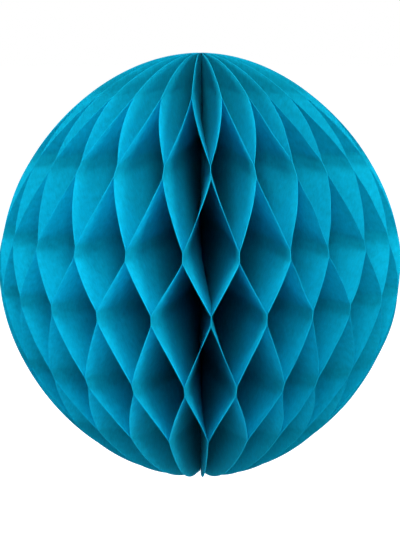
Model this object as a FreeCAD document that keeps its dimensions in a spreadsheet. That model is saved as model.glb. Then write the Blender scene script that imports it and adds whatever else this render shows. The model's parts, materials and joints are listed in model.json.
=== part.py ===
import FreeCAD, Part
import os

import Sketcher

# A hanging paper honeycomb ball. Half-moon tissue sheets stand round a spine like the pages of a
# book. Straight glue strips, staggered from one side of a sheet to the other, hold each sheet to
# its two neighbours, so that the opened sheets make cells. Two half-moon cards close the stack,
# and sticky pads hold them together, back to back, when the ball is open.
#
# The origin is the top of the spine, where the ball hangs. +Z runs up along the spine and +Y
# points to the seam where the two cards meet. Sizes are in millimetres and angles in degrees.

SIZES = [
    ("ball_height", 200.0, "spine, from pole to pole"),
    ("ball_diameter", 188.6, "across the widest place"),
    ("pole_fullness", 0.519, "length of the outline's handle at a pole, as a share of the radius"),
    ("side_fullness", 0.483, "length of the outline's handle at the side, as a share of half the height"),
    ("row_squeeze", 0.14, "how far the side's glue rows draw in towards the middle, as a share"),
    ("sheet_count", 50, "tissue sheets, always even"),
    ("paper_thickness", 0.05, "one tissue sheet"),
    ("spine_radius", 1.5, "the sheets' straight edges stand this far from the spine's axis"),
    ("first_row_drop", 12.2, "from the top pole to the first glue row"),
    ("row_stagger", 29.7, "from a glue row down to the next one on the sheet's other side"),
    ("row_pitch", 65.4, "between glue rows on the same side of a sheet"),
    ("strip_width", 5.0, "one glue strip"),
    ("glue_thickness", 0.004, "film of glue between two sheets"),
    ("card_thickness", 0.35, "one cover card"),
    ("card_margin", 1.0, "the cards are this much smaller than the sheets all round"),
    ("card_setback", 8.0, "from the spine's axis to the card's straight edge"),
    ("pad_thickness", 0.2, "sticky pad between the cards"),
    ("pad_width", 14.0, "sticky pad along the card and up it"),
    ("pad_corner", 2.0, "radius of the pad's corners"),
    ("pad_inset", 26.0, "from the card's round edge to the middle pad's centre"),
    ("pad_spacing", 52.0, "between one pad and the next, up the card"),
    ("outer_pad_inset", 44.0, "from the widest place to the upper and lower pads' centres"),
    ("thread_diameter", 0.5, "binding thread"),
    ("thread_clearance", 0.2, "between the thread and the side of its hole"),
    ("stitch_radius", 3.0, "from the spine's axis to the thread of a stitch"),
    ("stitch_margin", 20.0, "from a pole to the nearest stitch"),
    ("knot_diameter", 0.8, "knot that closes a stitch, in the seam"),
    ("knot_length", 0.7, "the same knot, along the thread"),
]
STITCH_NAMES = ["top", "upper", "lower", "bottom"]
PAD_NAMES = ["upper", "middle", "lower"]
OVERRUN = 1.0  # sheet blanks run past the outline by this much, and are then trimmed to it

doc = FreeCAD.newDocument("honeycomb_ball")
cells = doc.addObject("Spreadsheet::Sheet", "cells")
size = {}
for line, (alias, value, meaning) in enumerate(SIZES, start=1):
    cells.set(f"A{line}", alias)
    cells.set(f"B{line}", str(value))
    cells.set(f"C{line}", meaning)
    cells.setAlias(f"B{line}", alias)
    size[alias] = value
doc.recompute()

half_height = size["ball_height"] / 2
HALF_HEIGHT = "cells.ball_height / 2"
RADIUS = "cells.ball_diameter / 2"
OUTER_REACH = f"({RADIUS} + {OVERRUN})"
HALF_STACK = "(cells.card_thickness + cells.pad_thickness / 2)"  # from the seam to the first sheet


def origin_plane(body, role):
    for feature in body.Origin.OriginFeatures:
        if feature.Role == role:
            return feature
    raise ValueError(role)


def new_body(name):
    return doc.addObject("PartDesign::Body", name)


def new_sketch(body, name, role, offset=None):
    sketch = body.newObject("Sketcher::SketchObject", name)
    sketch.AttachmentSupport = [(origin_plane(body, role), "")]
    sketch.MapMode = "FlatFace"
    if offset:
        sketch.setExpression("AttachmentOffset.Base.z", offset)
    return sketch


def evaluate(sketch, pair):
    return [float(sketch.evalExpression(formula)) for formula in pair]


def bind_point(sketch, geometry, end, formulas, now):
    """Places a point of a sketch by two expressions, one across and one up."""
    for kind, formula, value in zip(("DistanceX", "DistanceY"), formulas, (now.x, now.y)):
        number = sketch.addConstraint(Sketcher.Constraint(kind, -1, 1, geometry, end, value))
        sketch.setExpression(f"Constraints[{number}]", formula)


def draw_polygon(sketch, formulas):
    """A closed outline of straight lines, with each corner placed by two expressions."""
    points = [FreeCAD.Vector(*evaluate(sketch, pair), 0) for pair in formulas]
    following = points[1:] + points[:1]
    lines = []
    for start, finish in zip(points, following):
        lines.append(sketch.addGeometry(Part.LineSegment(start, finish), False))
    for before, after in zip(lines, lines[1:] + lines[:1]):
        sketch.addConstraint(Sketcher.Constraint("Coincident", before, 2, after, 1))
    for line, pair, start in zip(lines, formulas, points):
        bind_point(sketch, line, 1, pair, start)


def glue_rows():
    """Heights of the glue rows above the ball's middle, from the top down. They alternate sides."""
    rows = []
    top = half_height - size["first_row_drop"]
    step = 0
    while True:
        on_other_side = step % 2
        height = top - (step // 2) * size["row_pitch"] - on_other_side * size["row_stagger"]
        if height < -half_height + size["first_row_drop"]:
            return rows
        rows.append(height)
        step += 1


def row_height(step):
    """Height of one glue row above the ball's middle, as an expression."""
    drop = f"cells.first_row_drop + {step // 2} * cells.row_pitch + {step % 2} * cells.row_stagger"
    return f"({HALF_HEIGHT} - ({drop}))"


def squeezed_row_height(step):
    """The same row's height at the blank's outer edge, drawn in towards the middle."""
    flat = row_height(step)
    rim = f"{RADIUS} * sqrt(1 - ({flat} / ({HALF_HEIGHT})) ^ 2)"
    return f"{flat} * (1 - cells.row_squeeze * ({rim}) * {OUTER_REACH} / ({RADIUS}) ^ 2)"


def draw_zigzag(sketch, reach, height_of, first_side):
    """The sheet's cross-section at one distance from the spine's axis: a thin band that lies on
    one bounding plane at every second glue row and on the other plane at the rows between."""
    narrowing = f"{HALF_STACK} / cells.sheet_count / cos(180 / cells.sheet_count)"
    amplitude = f"({reach} * tan(180 / cells.sheet_count) - {narrowing} - cells.glue_thickness / 2)"
    end = f"({HALF_HEIGHT} + {OVERRUN})"
    steps = range(len(glue_rows()))
    stations = []
    for step in steps:
        side = first_side * (-1) ** step
        height = height_of(step)
        above = end if step == 0 else f"{height} + cells.strip_width / 2"
        below = f"-{end}" if step == steps[-1] else f"{height} - cells.strip_width / 2"
        stations += [(side, above), (side, below)]
    middle = f"({amplitude} - cells.paper_thickness / 2)"
    right = [(f"{side} * {middle} + cells.paper_thickness / 2", up) for side, up in stations]
    left = [(f"{side} * {middle} - cells.paper_thickness / 2", up) for side, up in stations]
    draw_polygon(sketch, right + left[::-1])


def draw_outline(sketch, margin):
    """The right half of the ball's outline, as one cubic curve above the middle and one below."""
    radius = f"({RADIUS} - {margin})"
    half = f"({HALF_HEIGHT} - {margin})"
    near_pole = f"{radius} * cells.pole_fullness"
    near_side = f"{half} * cells.side_fullness"
    upper = [("0", half), (near_pole, half), (radius, near_side), (radius, "0")]
    lower = [(across, "0" if up == "0" else f"-{up}") for across, up in upper[::-1]]
    ends = []
    for formulas in (upper, lower):
        poles = [FreeCAD.Vector(*evaluate(sketch, pair), 0) for pair in formulas]
        curve = Part.BSplineCurve()
        curve.buildFromPolesMultsKnots(poles, [4, 4], [0, 1], False, 3)
        index = sketch.addGeometry(curve, False)
        sketch.exposeInternalGeometry(index)
        joined = len(ends)  # the lower curve starts where the upper one ends
        for i in range(joined, len(formulas)):
            bind_point(sketch, index + 1 + i, 3, formulas[i], poles[i])
        ends.append(index)
    sketch.addConstraint(Sketcher.Constraint("Coincident", ends[0], 2, ends[1], 1))
    return ends


def close_outline(sketch, ends, formulas):
    """Joins the outline's two poles by straight lines through the given corners."""
    corners = [FreeCAD.Vector(*evaluate(sketch, pair), 0) for pair in formulas]
    curves = [sketch.Geometry[index] for index in ends]
    points = [curves[1].EndPoint] + corners + [curves[0].StartPoint]
    lines = []
    for start, finish in zip(points, points[1:]):
        lines.append(sketch.addGeometry(Part.LineSegment(start, finish), False))
    sketch.addConstraint(Sketcher.Constraint("Coincident", ends[1], 2, lines[0], 1))
    sketch.addConstraint(Sketcher.Constraint("Coincident", lines[-1], 2, ends[0], 1))
    for before, after in zip(lines, lines[1:]):
        sketch.addConstraint(Sketcher.Constraint("Coincident", before, 2, after, 1))
    for line, pair, corner in zip(lines[1:], formulas, corners):
        bind_point(sketch, line, 1, pair, corner)


def draw_circle(sketch, across, up, radius):
    middle = FreeCAD.Vector(*evaluate(sketch, (across, up)), 0)
    now = float(sketch.evalExpression(radius))
    index = sketch.addGeometry(Part.Circle(middle, FreeCAD.Vector(0, 0, 1), now), False)
    bind_point(sketch, index, 3, (across, up), middle)
    number = sketch.addConstraint(Sketcher.Constraint("Radius", index, now))
    sketch.setExpression(f"Constraints[{number}]", radius)


def stitch_height(order):
    share = 1 - 2 * order / (len(STITCH_NAMES) - 1)
    return f"({HALF_HEIGHT} - cells.stitch_margin) * {share}"


def sheet_pattern(name, first_side):
    """One tissue sheet, standing along +X from the spine, with its thickness along Y."""
    body = new_body(name)
    inner = new_sketch(body, f"{name}_at_spine", "YZ_Plane", "cells.spine_radius")
    draw_zigzag(inner, "cells.spine_radius", row_height, first_side)
    outer = new_sketch(body, f"{name}_past_rim", "YZ_Plane", OUTER_REACH)
    draw_zigzag(outer, OUTER_REACH, squeezed_row_height, first_side)
    doc.recompute()
    blank = body.newObject("PartDesign::AdditiveLoft", f"{name}_blank")
    blank.Profile = inner
    blank.Sections = [outer]
    blank.Ruled = True
    doc.recompute()
    holes = new_sketch(body, f"{name}_stitch_holes", "XZ_Plane")
    for order in range(len(STITCH_NAMES)):
        radius = "cells.thread_diameter / 2 + cells.thread_clearance"
        draw_circle(holes, "cells.stitch_radius", stitch_height(order), radius)
    pierce = body.newObject("PartDesign::Pocket", f"{name}_piercing")
    pierce.Profile = holes
    pierce.Midplane = True
    pierce.setExpression("Length", "cells.stitch_radius")
    doc.recompute()
    around = new_sketch(body, f"{name}_offcut", "XZ_Plane")
    past_end = f"({HALF_HEIGHT} + 2 * {OVERRUN})"
    past_rim = f"({OUTER_REACH} + {OVERRUN})"
    corners = [("0", f"-{past_end}"), (past_rim, f"-{past_end}"), (past_rim, past_end), ("0", past_end)]
    close_outline(around, draw_outline(around, "0"), corners)
    trim = body.newObject("PartDesign::Groove", f"{name}_trim")
    trim.Profile = around
    trim.ReferenceAxis = (around, ["V_Axis"])
    trim.Midplane = True
    trim.setExpression("Angle", "4 * 360 / cells.sheet_count")
    doc.recompute()
    for before, after in ((blank, pierce), (pierce, trim)):
        if not after.Shape.Volume < before.Shape.Volume:
            raise RuntimeError(f"{after.Name} cut nothing")
    return body


def stand_in_ring(body, angle, along_x, along_y):
    """Turns a body round the spine, moves it aside, and hangs it below the origin."""
    body.setExpression("Placement.Rotation.Angle", angle)
    body.setExpression("Placement.Base.x", along_x)
    body.setExpression("Placement.Base.y", along_y)
    body.setExpression("Placement.Base.z", f"-({HALF_HEIGHT})")


def tissue_sheet(number, pattern):
    """A copy of a pattern, between its two glue planes. The planes near the seam stand aside by
    the thickness of a card and half a pad, and that evens out to nothing at the front."""
    body = new_body(f"tissue_sheet_{number:02d}")
    base = doc.addObject("PartDesign::FeatureBase", f"sheet_copy_{number:02d}")
    base.BaseFeature = pattern
    body.Group = [base]
    body.Tip = base
    angle = f"(90 - ({number} - 0.5) * 360 / cells.sheet_count)"
    aside = f"({HALF_STACK} * (1 - (2 * {number} - 1) / cells.sheet_count) / cos(180 / cells.sheet_count))"
    stand_in_ring(body, angle, f"{aside} * sin({angle})", f"-{aside} * cos({angle})")
    return body


def cover_card(name, side):
    """A half-moon card, a little smaller than the sheets, that stops short of the spine."""
    body = new_body(name)
    moon = new_sketch(body, f"{name}_moon", "XZ_Plane")
    close_outline(moon, draw_outline(moon, "cells.card_margin"), [])
    doc.recompute()
    plate = body.newObject("PartDesign::Pad", f"{name}_plate")
    plate.Profile = moon
    plate.Midplane = True
    plate.setExpression("Length", "cells.card_thickness")
    strip = new_sketch(body, f"{name}_setback", "XZ_Plane")
    corners = [("0", f"-({HALF_HEIGHT})"), ("cells.card_setback", f"-({HALF_HEIGHT})"),
               ("cells.card_setback", HALF_HEIGHT), ("0", HALF_HEIGHT)]
    draw_polygon(strip, corners)
    doc.recompute()
    cut = body.newObject("PartDesign::Pocket", f"{name}_straight_edge")
    cut.Profile = strip
    cut.Midplane = True
    cut.setExpression("Length", "4 * cells.card_thickness")
    doc.recompute()
    if not cut.Shape.Volume < plate.Shape.Volume:
        raise RuntimeError(f"{name} has no setback")
    stand_in_ring(body, "90", f"{side} * (cells.card_thickness + cells.pad_thickness) / 2", "0")
    return body


def sticky_pad(name, across, up):
    """A rounded square of double-sided tape between the two cards."""
    body = new_body(name)
    square = new_sketch(body, f"{name}_square", "XZ_Plane")
    left = f"{across} - cells.pad_width / 2"
    right = f"{across} + cells.pad_width / 2"
    bottom = f"{up} - cells.pad_width / 2"
    top = f"{up} + cells.pad_width / 2"
    corners = [(left, bottom), (right, bottom), (right, top), (left, top)]
    draw_polygon(square, corners)
    doc.recompute()
    slab = body.newObject("PartDesign::Pad", f"{name}_slab")
    slab.Profile = square
    slab.Midplane = True
    slab.setExpression("Length", "cells.pad_thickness")
    doc.recompute()
    corners = []
    for number, edge in enumerate(slab.Shape.Edges, start=1):
        ends = [vertex.Point for vertex in edge.Vertexes]
        if abs(ends[0].y - ends[1].y) > size["pad_thickness"] / 2:
            corners.append(f"Edge{number}")
    rounded = body.newObject("PartDesign::Fillet", f"{name}_corners")
    rounded.Base = (slab, corners)
    rounded.setExpression("Radius", "cells.pad_corner")
    stand_in_ring(body, "90", "0", "0")
    return body


def spine_stitch(name, order):
    """One loop of thread round the spine, through every sheet, knotted in the seam."""
    loop = doc.addObject("Part::Torus", f"{name}_loop")
    loop.setExpression("Radius1", "cells.stitch_radius")
    loop.setExpression("Radius2", "cells.thread_diameter / 2")
    knot = doc.addObject("Part::Cylinder", f"{name}_knot")
    knot.setExpression("Radius", "cells.knot_diameter / 2")
    knot.setExpression("Height", "cells.knot_length")
    knot.Placement.Rotation = FreeCAD.Rotation(FreeCAD.Vector(0, 0, 1), FreeCAD.Vector(1, 0, 0))
    knot.setExpression("Placement.Base.x", "-cells.knot_length / 2")
    knot.setExpression("Placement.Base.y", "cells.stitch_radius")
    stitch = doc.addObject("Part::Fuse", name)
    stitch.Base = loop
    stitch.Tool = knot
    stitch.setExpression("Placement.Base.z", f"{stitch_height(order)} - {HALF_HEIGHT}")
    return stitch


# Odd-numbered sheets start on the cards' side at the top row, and even-numbered ones mirror them.
odd_pattern = sheet_pattern("odd_pattern", 1)
even_pattern = sheet_pattern("even_pattern", -1)

pieces = []
for number in range(1, size["sheet_count"] + 1):
    pieces.append(tissue_sheet(number, odd_pattern if number % 2 else even_pattern))
pieces.append(cover_card("fixed_cover", 1))
pieces.append(cover_card("free_cover", -1))
for order, name in enumerate(PAD_NAMES):
    inset = "cells.pad_inset" if name == "middle" else "cells.outer_pad_inset"
    height = f"{1 - order} * cells.pad_spacing"
    pieces.append(sticky_pad(f"sticky_pad_{name}", f"({RADIUS} - {inset})", f"({height})"))
for order, name in enumerate(STITCH_NAMES):
    pieces.append(spine_stitch(f"spine_stitch_{name}", order))
doc.recompute()

for item in doc.Objects:
    if {"Invalid", "Error"} & set(item.State):
        raise RuntimeError(f"{item.Name} failed: {item.State}")
for piece in pieces:
    if piece.Shape.isNull() or not piece.Shape.isValid() or len(piece.Shape.Solids) != 1:
        raise RuntimeError(f"{piece.Label} isn't one sound solid")

os.makedirs("parts", exist_ok=True)
for piece in pieces:
    piece.Shape.exportStep(f"parts/{piece.Label}.step")
print(f"wrote {len(pieces)} pieces")
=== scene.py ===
import json
import math

import bpy
import numpy as np
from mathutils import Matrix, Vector

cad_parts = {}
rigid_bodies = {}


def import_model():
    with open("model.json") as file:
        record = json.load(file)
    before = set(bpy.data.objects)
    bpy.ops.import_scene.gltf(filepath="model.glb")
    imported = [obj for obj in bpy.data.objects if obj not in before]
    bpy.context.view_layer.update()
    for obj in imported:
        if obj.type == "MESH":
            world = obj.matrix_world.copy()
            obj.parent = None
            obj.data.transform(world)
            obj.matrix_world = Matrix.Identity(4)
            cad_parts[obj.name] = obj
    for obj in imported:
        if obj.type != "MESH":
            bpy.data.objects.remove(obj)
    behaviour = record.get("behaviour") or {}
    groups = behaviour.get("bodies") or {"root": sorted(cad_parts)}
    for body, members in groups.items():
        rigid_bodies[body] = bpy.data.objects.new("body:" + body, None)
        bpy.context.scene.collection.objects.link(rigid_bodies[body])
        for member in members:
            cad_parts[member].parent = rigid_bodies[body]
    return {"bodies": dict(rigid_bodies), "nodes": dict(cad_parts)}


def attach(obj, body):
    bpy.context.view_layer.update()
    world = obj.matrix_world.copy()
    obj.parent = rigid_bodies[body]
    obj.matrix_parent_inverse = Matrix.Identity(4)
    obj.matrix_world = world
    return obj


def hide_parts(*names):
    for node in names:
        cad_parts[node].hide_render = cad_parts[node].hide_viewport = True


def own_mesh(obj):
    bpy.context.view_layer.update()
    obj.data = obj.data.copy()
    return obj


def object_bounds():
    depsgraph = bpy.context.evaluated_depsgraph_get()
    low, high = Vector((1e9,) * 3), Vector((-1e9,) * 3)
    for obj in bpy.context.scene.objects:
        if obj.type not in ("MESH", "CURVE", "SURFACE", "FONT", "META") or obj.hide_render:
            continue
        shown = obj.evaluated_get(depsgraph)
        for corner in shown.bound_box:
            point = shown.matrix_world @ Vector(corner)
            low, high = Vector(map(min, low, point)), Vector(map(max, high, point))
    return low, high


# A hanging paper honeycomb ball: tissue sheets that stand round a spine like the pages of a book,
# glued to their neighbours in staggered strips. All sizes are in metres, angles in degrees.

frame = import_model()
cadLow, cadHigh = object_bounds()
print("frame loaded")

millimetre = 0.001

ball = {
    "radius": -cadLow.y,  # the widest place
    "halfHeight": (cadHigh.z - cadLow.z) / 2,
    "middle": (cadHigh.z + cadLow.z) / 2,
    "poleFullness": 0.519,  # handles of the outline's curve, at a pole and at the side
    "sideFullness": 0.483,
    "outlineSteps": 1501,
    "rowSqueeze": 0.14,  # the glue rows draw in towards the middle at the rim by this share
    "spineRadius": 1.5 * millimetre,
    "seamHalf": 0.45 * millimetre,  # a card and half a pad, which the planes at the seam stand aside by
}
glue = {
    "firstDrop": 12.2 * millimetre,  # from the top pole to the first row
    "stagger": 29.7 * millimetre,  # down to the next row, on the sheet's other side
    "pitch": 65.4 * millimetre,  # between rows on one side
    "stripWidth": 5.0 * millimetre,
    "film": 0.004 * millimetre,
}


def deselectAll():
    bpy.ops.object.select_all(action="DESELECT")


def makeActive(piece):
    deselectAll()
    piece.select_set(True)
    bpy.context.view_layer.objects.active = piece


def smoothStep(share):
    return share * share * (3 - 2 * share)


def newNode(tree, kind, at, **settings):
    node = tree.nodes.new(kind)
    node.location = at
    for name, value in settings.items():
        setattr(node, name, value)
    return node


grainForm = {
    "stretch": (1.0, 0.35, 1.0), "turn": 24,  # fibres are longer than wide, and lie askew
    "fibreDetail": 4.0, "fibreRoughness": 0.6,
    "mottleDetail": 3.0, "mottleShare": 0.45,  # of the tone
    "toneRange": (0.32, 0.68),  # tones at which a paper is at its darkest and at its lightest
    "refraction": 1.4,
}


def paperGrainGroup():
    # long soft fibres and a slow mottle, as one height and one tone
    group = bpy.data.node_groups.new("paperGrain", "ShaderNodeTree")
    sockets = (
        ("Vector", "INPUT", "NodeSocketVector"),
        ("Fibre Scale", "INPUT", "NodeSocketFloat"),
        ("Mottle Scale", "INPUT", "NodeSocketFloat"),
        ("Height", "OUTPUT", "NodeSocketFloat"),
        ("Tone", "OUTPUT", "NodeSocketFloat"),
    )
    for name, way, kind in sockets:
        group.interface.new_socket(name=name, in_out=way, socket_type=kind)
    start = newNode(group, "NodeGroupInput", (-900, 0))
    end = newNode(group, "NodeGroupOutput", (500, 0))
    stretch = newNode(group, "ShaderNodeMapping", (-700, 150))
    stretch.inputs["Scale"].default_value = grainForm["stretch"]
    stretch.inputs["Rotation"].default_value = (0.0, 0.0, math.radians(grainForm["turn"]))
    fibres = newNode(group, "ShaderNodeTexNoise", (-450, 200))
    fibres.inputs["Detail"].default_value = grainForm["fibreDetail"]
    fibres.inputs["Roughness"].default_value = grainForm["fibreRoughness"]
    mottle = newNode(group, "ShaderNodeTexNoise", (-450, -100))
    mottle.inputs["Detail"].default_value = grainForm["mottleDetail"]
    blend = newNode(group, "ShaderNodeMix", (-150, 0), data_type="FLOAT")
    blend.inputs["Factor"].default_value = grainForm["mottleShare"]
    group.links.new(start.outputs["Vector"], stretch.inputs["Vector"])
    group.links.new(stretch.outputs["Vector"], fibres.inputs["Vector"])
    group.links.new(start.outputs["Fibre Scale"], fibres.inputs["Scale"])
    group.links.new(start.outputs["Vector"], mottle.inputs["Vector"])
    group.links.new(start.outputs["Mottle Scale"], mottle.inputs["Scale"])
    group.links.new(fibres.outputs["Fac"], blend.inputs["A"])
    group.links.new(mottle.outputs["Fac"], blend.inputs["B"])
    group.links.new(fibres.outputs["Fac"], end.inputs["Height"])
    group.links.new(blend.outputs["Result"], end.inputs["Tone"])
    return group


paperGrain = paperGrainGroup()


def grainedMaterial(name, look):
    # a matt material whose tone and relief come from the paper grain
    material = bpy.data.materials.new(name)
    material.use_nodes = True
    tree = material.node_tree
    shader = tree.nodes["Principled BSDF"]
    shader.inputs["Roughness"].default_value = look["roughness"]
    shader.inputs["IOR"].default_value = grainForm["refraction"]
    shader.inputs["Specular IOR Level"].default_value = look["gloss"]
    if look["follows"] == "UV":
        place = newNode(tree, "ShaderNodeUVMap", (-1100, 0), uv_map="sheetPlace")
        where = place.outputs["UV"]
    else:
        place = newNode(tree, "ShaderNodeTexCoord", (-1100, 0))
        where = place.outputs["Object"]
    grain = newNode(tree, "ShaderNodeGroup", (-850, 0), node_tree=paperGrain)
    grain.inputs["Fibre Scale"].default_value = look["fibreScale"]
    grain.inputs["Mottle Scale"].default_value = look["mottleScale"]
    tones = newNode(tree, "ShaderNodeValToRGB", (-550, 150))
    ends = zip(tones.color_ramp.elements, grainForm["toneRange"], (look["dark"], look["light"]))
    for end, position, colour in ends:
        end.position = position
        end.color = (*colour, 1.0)
    bump = newNode(tree, "ShaderNodeBump", (-250, -250))
    bump.inputs["Strength"].default_value = look["relief"]
    bump.inputs["Distance"].default_value = look["reliefDepth"]
    tree.links.new(where, grain.inputs["Vector"])
    tree.links.new(grain.outputs["Tone"], tones.inputs["Fac"])
    tree.links.new(grain.outputs["Height"], bump.inputs["Height"])
    tree.links.new(bump.outputs["Normal"], shader.inputs["Normal"])
    tree.links.new(tones.outputs["Color"], shader.inputs["Base Color"])
    return material


tissueLook = {
    "follows": "UV", "fibreScale": 1100.0, "mottleScale": 330.0,
    "dark": (0.0006, 0.345, 0.490), "light": (0.0014, 0.485, 0.665),
    "roughness": 0.85, "gloss": 0.08, "relief": 0.5, "reliefDepth": 0.05 * millimetre,
    "edge": (0.002, 0.42, 0.60),  # the cut edge scatters more light
    "letsThrough": 0.6,  # share of the light that crosses into the paper
    "glueRowShadeTone": 0.95,  # share of the tone that is left under the painted shade along the glue rows, where neighbouring sheets meet and close the cell
}


def tissueMaterial():
    # grained paper with a light cut edge and painted shade along the glue strips, lit through from behind
    material = grainedMaterial("tissueTeal", tissueLook)
    tree = material.node_tree
    shader = tree.nodes["Principled BSDF"]
    tones = shader.inputs["Base Color"].links[0].from_socket
    cut = newNode(tree, "ShaderNodeAttribute", (-550, -100), attribute_name="cutEdge")
    lighten = newNode(tree, "ShaderNodeMix", (-250, 100), data_type="RGBA")
    lighten.inputs["B"].default_value = (*tissueLook["edge"], 1.0)
    tree.links.new(cut.outputs["Fac"], lighten.inputs["Factor"])
    tree.links.new(tones, lighten.inputs["A"])
    # painted shade: the tone is darkened along the glue rows, where neighbouring sheets meet and the
    # cells close
    rowShadeAttribute = newNode(tree, "ShaderNodeAttribute", (-550, -300), attribute_name="glueRowShade")
    darken = newNode(tree, "ShaderNodeMix", (-50, 100), data_type="RGBA", blend_type="MULTIPLY")
    darken.inputs["B"].default_value = (*[tissueLook["glueRowShadeTone"]] * 3, 1.0)
    tree.links.new(rowShadeAttribute.outputs["Fac"], darken.inputs["Factor"])
    tree.links.new(lighten.outputs["Result"], darken.inputs["A"])
    tree.links.new(darken.outputs["Result"], shader.inputs["Base Color"])
    through = newNode(tree, "ShaderNodeBsdfTranslucent", (50, -300))
    mixed = newNode(tree, "ShaderNodeMixShader", (300, 0))
    mixed.inputs["Fac"].default_value = tissueLook["letsThrough"]
    tree.links.new(darken.outputs["Result"], through.inputs["Color"])
    tree.links.new(shader.outputs["BSDF"], mixed.inputs[1])
    tree.links.new(through.outputs["BSDF"], mixed.inputs[2])
    tree.links.new(mixed.outputs["Shader"], tree.nodes["Material Output"].inputs["Surface"])
    return material


tissueTeal = tissueMaterial()
print("materials made")


sheets = {
    "count": sum(name.startswith("sheet_") for name in frame["bodies"]),
    "thickness": 0.10 * millimetre,
    "radialSteps": 18,
    "heightSteps": 200,
    "cutBand": 0.15 * millimetre,  # the light band along the cut edge
    "bandLimit": 0.3,  # the most of the sheet's width that the band takes near a pole
    "poleWidth": 1.1,  # a sheet ends where the outline is this many spine radii out
    "roundness": 0.03,  # 0 for straight folds between glue strips, 1 for a full S
    "keptShare": 0.02,  # of the zigzag's depth, when the ball is closed
    "crumple": 0.12 * millimetre,
    "creasedCrumple": 0.55 * millimetre,
    "glueShadeFade": 3.0 * millimetre,  # how far the painted shade reaches past a glue strip
    "creased": range(17, 23),  # these sheets were pinched once
    "patternShift": (0.137, 0.211),  # how far the grain moves on from sheet to sheet
    "smoothAngle": 40,
    "seed": 11,
}
crumpleWaves = {
    "count": 6,
    "shortest": 14, "longest": 46,  # millimetres
    "evening": 3,  # divides the sum of the waves, to bring it near the size asked for
}
# How far a glue plane has turned from its even place, in degrees, as the ball happened to open.
# Planes between these are in between.
turnedPlanes = {0: 0, 8: 0.3, 14: -0.6, 16: -1.6, 18: -2.3, 20: -2.4, 21: -0.6, 22: 0.4, 24: 0.9,
                26: 0.8, 28: 0.3, 30: -0.4, 32: -0.5, 36: 0.4, 44: -0.3, 50: 0}
planeWander = {"turn": 0.15, "secondWave": 1.5}  # degrees up and down a plane, in two waves
# Between spine and rim the front has drifted towards +X, most at this share of the radius.
drifted = {"turn": 5.0, "from": 0.25}
# Near the spine the bound edges lean round together, which closes the view through the middle.
lean = {"turn": 60.0, "reach": 8 * millimetre, "lostAtPoles": 0.6, "poleSharpness": 6}

rng = np.random.default_rng(sheets["seed"])
wanders = rng.normal(0, planeWander["turn"], (sheets["count"] + 1, 2))
wanders[[0, -1]] = 0


def outlinePoint(t):
    # the quarter outline from the top pole, t = 0, to the widest place, t = 1
    a, b = ball["radius"], ball["halfHeight"]
    weights = ((1 - t) ** 3, 3 * (1 - t) ** 2 * t, 3 * (1 - t) * t * t, t ** 3)
    across = (0, ball["poleFullness"] * a, a, a)
    up = (b, b, ball["sideFullness"] * b, 0)
    return sum(w * x for w, x in zip(weights, across)), sum(w * z for w, z in zip(weights, up))


outlineAcross, outlineUp = outlinePoint(np.linspace(0, 1, ball["outlineSteps"]))
outlineFlat = outlineUp / (1 - ball["rowSqueeze"] * (outlineAcross / ball["radius"]) ** 2)


def rimRadius(flatHeight):
    # how far out the paper reaches along the line that lies at this height on the flat sheet
    return np.interp(-np.abs(flatHeight), -outlineFlat, outlineAcross)


def glueRows():
    # heights above the middle, from the top down; even rows lie on even glue planes, odd rows on odd ones
    rows = []
    while True:
        step = len(rows)
        drop = glue["firstDrop"] + (step // 2) * glue["pitch"] + (step % 2) * glue["stagger"]
        if drop > 2 * ball["halfHeight"] - glue["firstDrop"]:
            return rows
        rows.append(ball["halfHeight"] - drop)


def swing(flatHeight):
    # 1 on the strips of one side, -1 on the strips of the other, and a nearly straight fold between
    rows = glueRows()
    share = np.ones_like(flatHeight)
    for step, (above, below) in enumerate(zip(rows, rows[1:])):
        side = (-1) ** step
        top = above - glue["stripWidth"] / 2
        bottom = below + glue["stripWidth"] / 2
        along = np.clip((top - flatHeight) / (top - bottom), 0, 1)
        curved = along + sheets["roundness"] * (smoothStep(along) - along)
        share = np.where(flatHeight < above, side * (1 - 2 * curved), share)
    return share


def glueRowShadeMask(flatHeight):
    # 1 on a glue strip of either side, down to 0 past the fade: a mask of painted shade where
    # neighbouring sheets meet
    nearest = np.min([np.abs(flatHeight - row) for row in glueRows()], axis=0)
    past = np.clip((nearest - glue["stripWidth"] / 2) / sheets["glueShadeFade"], 0, 1)
    return 1 - smoothStep(past)


def planeAngle(plane, flatHeight, radius):
    # the direction of a glue plane from the spine, in radians
    even = 90 - plane * 360 / sheets["count"]
    turned = np.interp(plane, list(turnedPlanes), list(turnedPlanes.values()))
    phase = math.pi * flatHeight / ball["halfHeight"]
    secondWave = np.cos(planeWander["secondWave"] * phase)
    wander = wanders[plane, 0] * np.sin(phase) + wanders[plane, 1] * secondWave
    # 1 at the front, 0 at the sides and behind
    facing = max(math.cos(math.radians(even + 90)), 0)
    outward = radius / ball["radius"]
    drift = drifted["turn"] * facing * np.cos(phase / 2)
    drift = drift * (1 - outward) * np.minimum(outward / drifted["from"], 1)
    bound = lean["turn"] * np.clip(1 - radius / lean["reach"], 0, 1) ** 2
    bound = bound * (1 - lean["lostAtPoles"] * (flatHeight / ball["halfHeight"]) ** lean["poleSharpness"])
    return np.radians(even + turned + wander + drift + bound)


def crumpleField(radius, height, size):
    # a few long waves at random
    field = np.zeros_like(radius)
    for _ in range(crumpleWaves["count"]):
        length = rng.uniform(crumpleWaves["shortest"], crumpleWaves["longest"]) * millimetre
        way = rng.uniform(0, math.pi)
        phase = rng.uniform(0, 2 * math.pi)
        across = radius * math.cos(way) + height * math.sin(way)
        field += np.sin(2 * math.pi * across / length + phase)
    return size * field / crumpleWaves["evening"]


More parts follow.
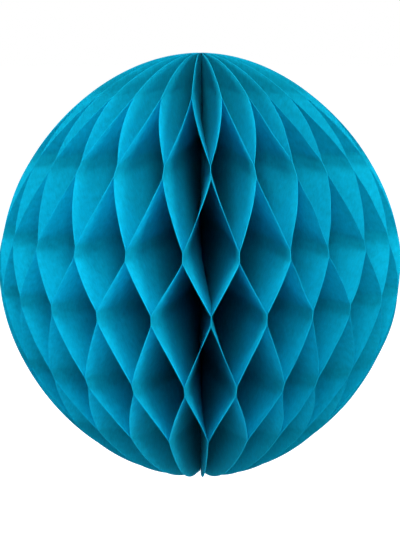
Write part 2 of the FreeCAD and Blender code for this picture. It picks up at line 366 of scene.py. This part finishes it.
deselectAll()
bpy.ops.mesh.primitive_grid_add(
    x_subdivisions=sheets["radialSteps"], y_subdivisions=sheets["heightSteps"], size=1)
flatSheet = bpy.context.object
flatSheet.name = "flatSheet"
flatSheet.data.uv_layers[0].name = "sheetPlace"


def readVertices(mesh):
    points = np.empty(len(mesh.vertices) * 3)
    mesh.vertices.foreach_get("co", points)
    return points.reshape(-1, 3)


def flatPlaces():
    # for each vertex of the grid: distance from the spine, height on the flat sheet, share of cut edge
    points = readVertices(flatSheet.data)
    column = np.rint((points[:, 0] + 0.5) * sheets["radialSteps"])
    row = points[:, 1] * 2
    topFlat = np.interp(ball["spineRadius"] * sheets["poleWidth"], outlineAcross, outlineFlat)
    steepest = math.asin(topFlat / ball["halfHeight"])
    flatHeight = ball["halfHeight"] * np.sin(row * steepest)
    rim = rimRadius(flatHeight)
    band = np.minimum(sheets["cutBand"], sheets["bandLimit"] * (rim - ball["spineRadius"]))
    inner = np.minimum(column / (sheets["radialSteps"] - 1), 1)
    radius = ball["spineRadius"] + inner * (rim - band - ball["spineRadius"])
    isRim = column == sheets["radialSteps"]
    radius[isRim] = rim[isRim]
    return radius, flatHeight, isRim.astype(float)


radius, flatHeight, cutEdge = flatPlaces()
sideShare = swing(flatHeight)
# mask of painted shade along the glue rows
glueRowShade = glueRowShadeMask(flatHeight)
centreHeight = ball["middle"] + flatHeight * (1 - ball["rowSqueeze"] * (radius / ball["radius"]) ** 2)


def writeSheetPlace(mesh, number):
    # the sheet's own place map, in metres, moved on for each sheet so that no two share a pattern
    corners = np.empty(len(mesh.loops), int)
    mesh.loops.foreach_get("vertex_index", corners)
    outward, upward = (number * shift for shift in sheets["patternShift"])
    places = np.stack([radius[corners] + outward, flatHeight[corners] + upward], axis=1)
    mesh.uv_layers["sheetPlace"].data.foreach_set("uv", places.ravel())


def tissueSheet(number):
    # a half moon between two glue planes, folded to and fro by the strips on its two sides
    piece = flatSheet.copy()
    piece.data = flatSheet.data.copy()
    piece.name = f"tissueSheet{number:02d}"
    bpy.context.collection.objects.link(piece)

    ahead = planeAngle(number - 1, flatHeight, radius)
    behind = planeAngle(number, flatHeight, radius)
    middle = (ahead + behind) / 2
    opening = (ahead - behind) / 2
    evenHalf = math.pi / sheets["count"]
    narrowing = ball["seamHalf"] / sheets["count"] / math.cos(evenHalf)
    clearance = narrowing + sheets["thickness"] / 2 + glue["film"] / 2
    depth = np.maximum(radius * np.tan(opening) - clearance, 0)
    side = 1 if number % 2 else -1
    sideways = side * sideShare * depth
    size = sheets["creasedCrumple"] if number in sheets["creased"] else sheets["crumple"]
    free = (1 - sideShare ** 2) * np.clip(radius / ball["radius"], 0, 1)
    sideways += crumpleField(radius, flatHeight, size) * free
    aside = ball["seamHalf"] * (1 - (2 * number - 1) / sheets["count"]) / math.cos(evenHalf)
    along = np.sqrt(np.maximum(radius ** 2 - sideways ** 2, 0))
    sideways -= aside
    points = np.stack([along * np.cos(middle) - sideways * np.sin(middle),
                       along * np.sin(middle) + sideways * np.cos(middle), centreHeight], axis=1)
    piece.data.vertices.foreach_set("co", points.ravel())
    writeSheetPlace(piece.data, number)
    cut = piece.data.attributes.new("cutEdge", "FLOAT", "POINT")
    cut.data.foreach_set("value", cutEdge)
    # the mask of painted shade along the glue rows, for the material to darken the tone by
    rowShadeAttribute = piece.data.attributes.new("glueRowShade", "FLOAT", "POINT")
    rowShadeAttribute.data.foreach_set("value", glueRowShade)
    piece.data.materials.append(tissueTeal)

    makeActive(piece)
    wall = piece.modifiers.new("wall", "SOLIDIFY")
    wall.thickness = sheets["thickness"]
    wall.offset = 0
    bpy.ops.object.modifier_apply(modifier="wall")
    bpy.ops.object.shade_smooth_by_angle(angle=math.radians(sheets["smoothAngle"]))

    name = f"{number:02d}"
    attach(piece, f"sheet_{name}")
    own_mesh(piece)
    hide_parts(f"tissue_sheet_{name}")


for number in range(1, sheets["count"] + 1):
    tissueSheet(number)
bpy.data.objects.remove(flatSheet)
print("tissue sheets made")


cardLook = {
    "follows": "Object", "fibreScale": 420.0, "mottleScale": 50.0,
    "dark": (0.0010, 0.27, 0.44), "light": (0.0040, 0.33, 0.52),
    "roughness": 0.62, "gloss": 0.35, "relief": 0.4, "reliefDepth": 0.05 * millimetre,
}
padLook = {
    "follows": "Object", "fibreScale": 260.0, "mottleScale": 120.0,
    "dark": (0.72, 0.72, 0.69), "light": (0.88, 0.88, 0.85),
    "roughness": 0.38, "gloss": 0.5, "relief": 0.2, "reliefDepth": 0.05 * millimetre,
}
threadLook = {
    "follows": "Object", "fibreScale": 5200.0, "mottleScale": 400.0,
    "dark": (0.004, 0.16, 0.26), "light": (0.010, 0.30, 0.45),
    "roughness": 0.55, "gloss": 0.4, "relief": 0.9, "reliefDepth": 0.08 * millimetre,
}


def coatNodes(beginning, material):
    # the frame's own pieces whose names begin so
    for name, node in frame["nodes"].items():
        if name.startswith(beginning):
            node.data.materials.clear()
            node.data.materials.append(material)


cardTeal = grainedMaterial("cardTeal", cardLook)
coatNodes("fixed_cover", cardTeal)
coatNodes("free_cover", cardTeal)
coatNodes("sticky_pad", grainedMaterial("clearTape", padLook))
coatNodes("spine_stitch", grainedMaterial("tealThread", threadLook))
print("cards, pads and thread finished")


studio = {
    "floorDrop": 0.16,  # under the ball
    "floorSide": 30.0,
    "floorColour": (0.3, 0.3, 0.3),
    "floorRoughness": 0.9,
    "seenGlow": 1.0,  # floor and backdrop, to the eye
    "floorGlow": 0.84,  # what the floor sends up to the ball
    "daylight": 0.05,  # what falls on it from all round
    "white": (1, 1, 1, 1),
}
eyePoint = {"distance": 0.622, "azimuth": -1.8, "elevation": 10.0, "lens": 88.7}

centre = Vector((0, 0, ball["middle"]))


def around(azimuth, elevation, distance):
    turn, rise = math.radians(azimuth), math.radians(elevation)
    back = Vector((math.sin(turn) * math.cos(rise), -math.cos(turn) * math.cos(rise), math.sin(rise)))
    return centre + back * distance


def aimAt(item, target):
    item.rotation_euler = (target - item.location).to_track_quat("-Z", "Y").to_euler()


deselectAll()
floorHeight = cadLow.z - studio["floorDrop"]
bpy.ops.mesh.primitive_plane_add(size=studio["floorSide"], location=(0, 0, floorHeight))
floor = bpy.context.object
floor.name = "floor"
floorPaint = bpy.data.materials.new("floorPaint")
floorPaint.use_nodes = True
floorShader = floorPaint.node_tree.nodes["Principled BSDF"]
floorShader.inputs["Base Color"].default_value = (*studio["floorColour"], 1)
floorShader.inputs["Roughness"].default_value = studio["floorRoughness"]
floorShader.inputs["Specular IOR Level"].default_value = 0.0
floorShader.inputs["Emission Color"].default_value = studio["white"]
floor.data.materials.append(floorPaint)


def seenAndSent(tree, strength, seen, sent):
    # the eye sees one brightness, and the ball is lit by another
    path = newNode(tree, "ShaderNodeLightPath", (-600, 0))
    level = newNode(tree, "ShaderNodeMix", (-300, 0), data_type="FLOAT")
    level.inputs["A"].default_value = sent
    level.inputs["B"].default_value = seen
    tree.links.new(path.outputs["Is Camera Ray"], level.inputs["Factor"])
    tree.links.new(level.outputs["Result"], strength)


floorGlow = floorShader.inputs["Emission Strength"]
seenAndSent(floorPaint.node_tree, floorGlow, studio["seenGlow"], studio["floorGlow"])

world = bpy.data.worlds.new("studioWhite")
world.use_nodes = True
sky = world.node_tree.nodes["Background"]
sky.inputs["Color"].default_value = studio["white"]
seenAndSent(world.node_tree, sky.inputs["Strength"], studio["seenGlow"], studio["daylight"])
bpy.context.scene.world = world

far = {"distance": 1.6, "side": 0.8}
near = {"distance": 1.0, "side": 0.6}
lamps = (
    {"name": "leftBackLamp", "azimuth": -105, "elevation": 15, "power": 12, **far},
    {"name": "leftLamp", "azimuth": -71, "elevation": 15, "power": 31, **far},
    {"name": "frontLamp", "azimuth": 2, "elevation": 34, "power": 11, **near},
    {"name": "rightLamp", "azimuth": 50, "elevation": 11, "power": 29, **far},
    {"name": "topLamp", "azimuth": -15, "elevation": 73, "power": 32, **far},
)
for lamp in lamps:
    light = bpy.data.lights.new(lamp["name"], "AREA")
    light.shape = "SQUARE"
    light.size = lamp["side"]
    light.energy = lamp["power"]
    lightObject = bpy.data.objects.new(lamp["name"], light)
    bpy.context.collection.objects.link(lightObject)
    lightObject.location = around(lamp["azimuth"], lamp["elevation"], lamp["distance"])
    aimAt(lightObject, centre)

camera = bpy.data.cameras.new("camera")
camera.lens = eyePoint["lens"]
cameraObject = bpy.data.objects.new("camera", camera)
bpy.context.collection.objects.link(cameraObject)
cameraObject.location = around(eyePoint["azimuth"], eyePoint["elevation"], eyePoint["distance"])
aimAt(cameraObject, centre)
bpy.context.scene.camera = cameraObject
bpy.context.scene.view_settings.view_transform = "Standard"
print("room, lamps and camera placed")
